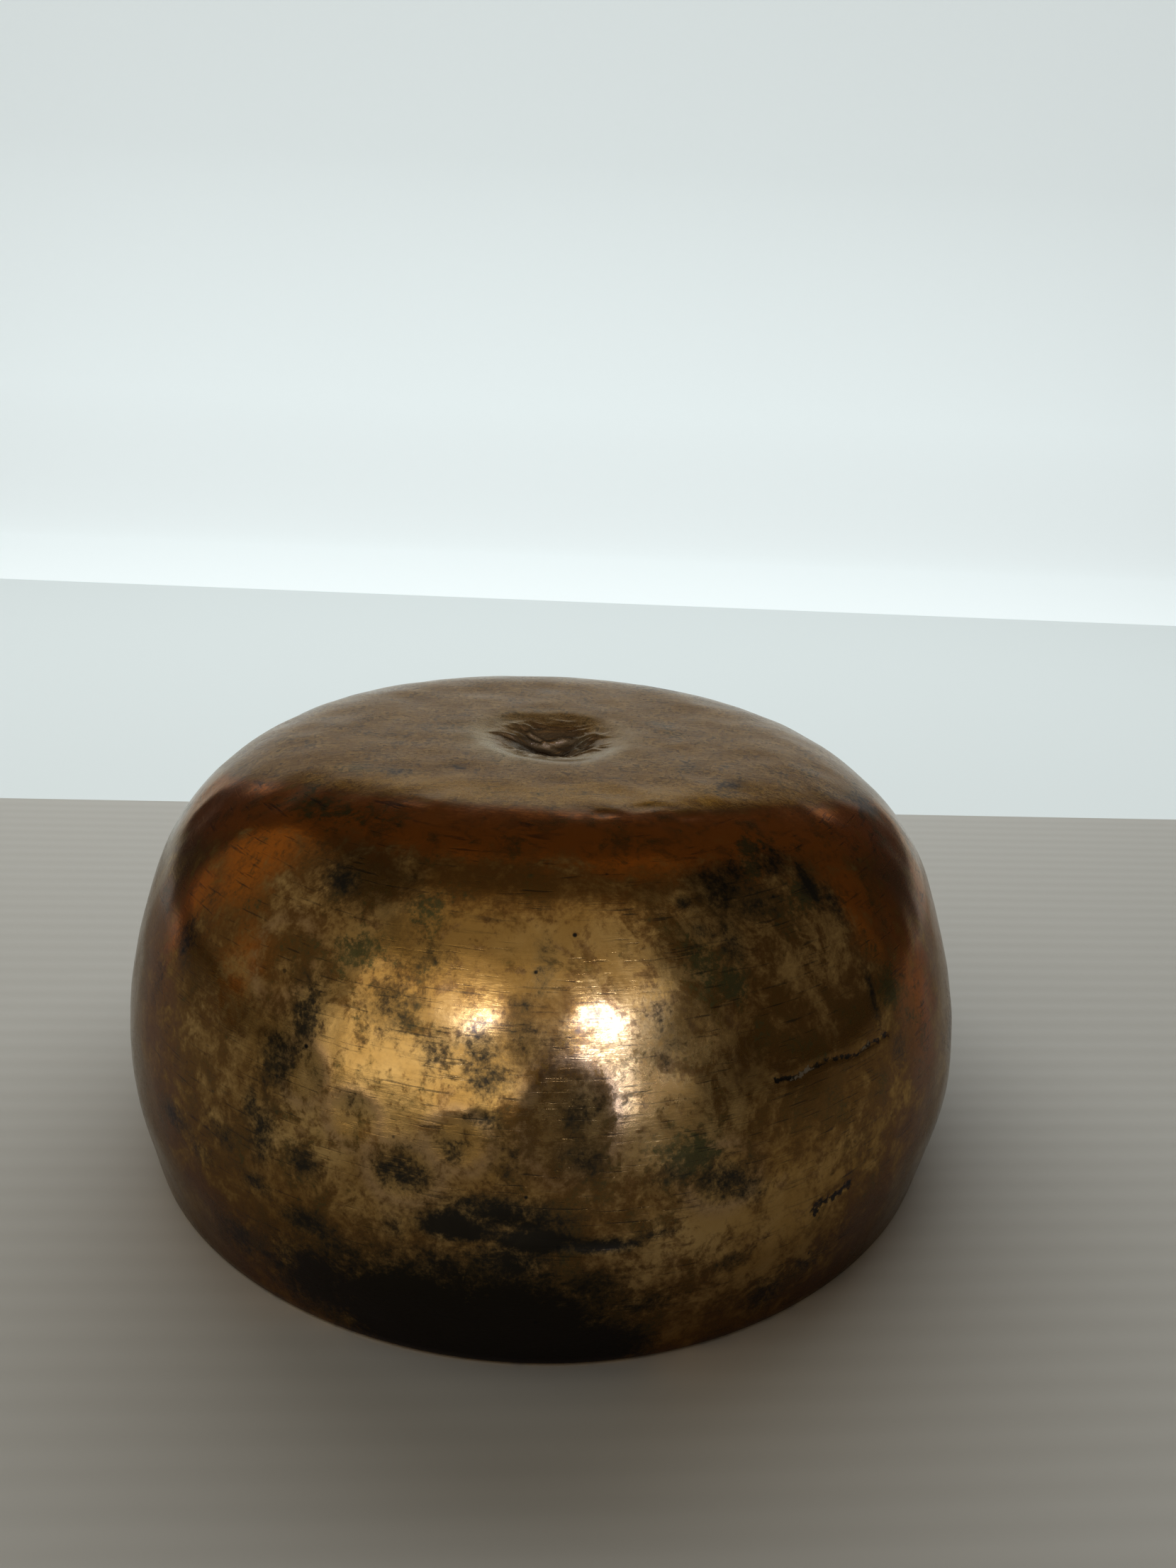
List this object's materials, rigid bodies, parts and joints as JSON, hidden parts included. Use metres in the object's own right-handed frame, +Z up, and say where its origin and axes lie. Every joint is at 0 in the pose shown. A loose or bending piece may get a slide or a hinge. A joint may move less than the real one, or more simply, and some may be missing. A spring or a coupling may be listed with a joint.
{
  "type": "hammered brass bowl",
  "caption": "Deep hand-hammered brass bowl with inward-leaning wall, round shoulder and dimpled base, resting mouth down on its rim.",
  "frame": {"origin": "on the plane that the rim rests on, under the middle of the bowl's outline", "axes": "+Z up, out of the dimpled base; the bowl is stored mouth down, as in use for display; the side towards -Y carries the brightest, most worn metal"},
  "size_m": [0.1804, 0.1836, 0.0831],
  "materials": {
    "hammered_brass": "hand-hammered, worn satin with brown, olive and black patina"
  },
  "bodies": {
    "root": {"bowl": "hammered_brass"}
  },
  "joints": []
}
